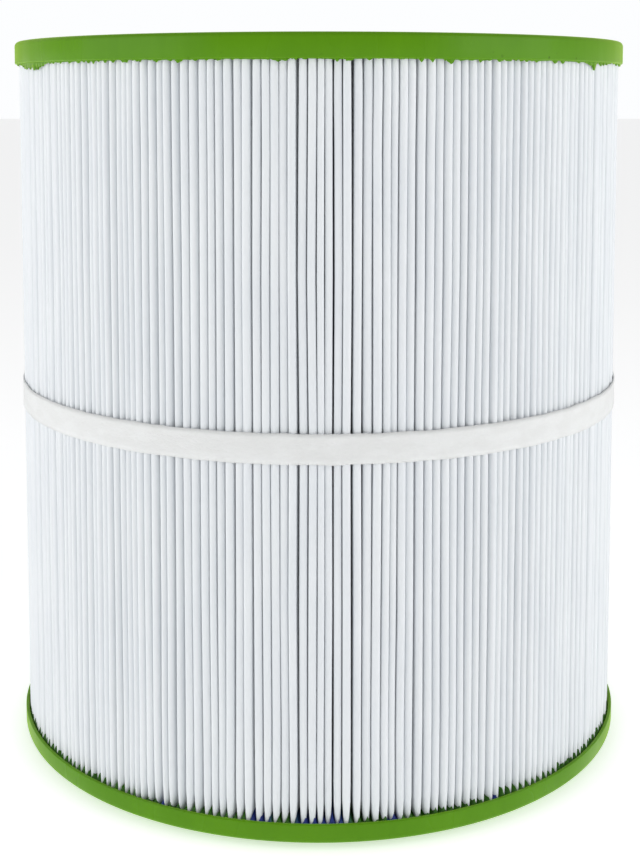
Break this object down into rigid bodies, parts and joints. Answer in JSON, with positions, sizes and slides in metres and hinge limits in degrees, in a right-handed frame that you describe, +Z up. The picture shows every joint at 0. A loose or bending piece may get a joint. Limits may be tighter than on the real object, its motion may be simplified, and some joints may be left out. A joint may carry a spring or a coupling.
{
  "type": "filter cartridge",
  "caption": "Round pleated filter cartridge with cast urethane end caps, a windowed core and a band round the pleats, open at both ends.",
  "frame": {"origin": "centre of the bottom sealing lip's face, which the cartridge stands on", "axes": "+Z up along the cartridge's axis, from the bottom cap to the top cap; the media's seam and the band's lap face +Y"},
  "size_m": [0.227, 0.227, 0.2596],
  "materials": {
    "cap": "satin cast urethane",
    "potting": "satin cast urethane",
    "core": "moulded",
    "media": "spun-bonded non-woven",
    "adhesive": "set hot glue",
    "band": "non-woven tape"
  },
  "bodies": {
    "root": {"bottom_cap": "cap", "top_cap": "cap", "bottom_potting": "potting", "top_potting": "potting", "core_lower": "core", "core_upper": "core", "pleated_media": "media", "seam_strip": "adhesive", "wrap_band": "band"}
  },
  "joints": []
}
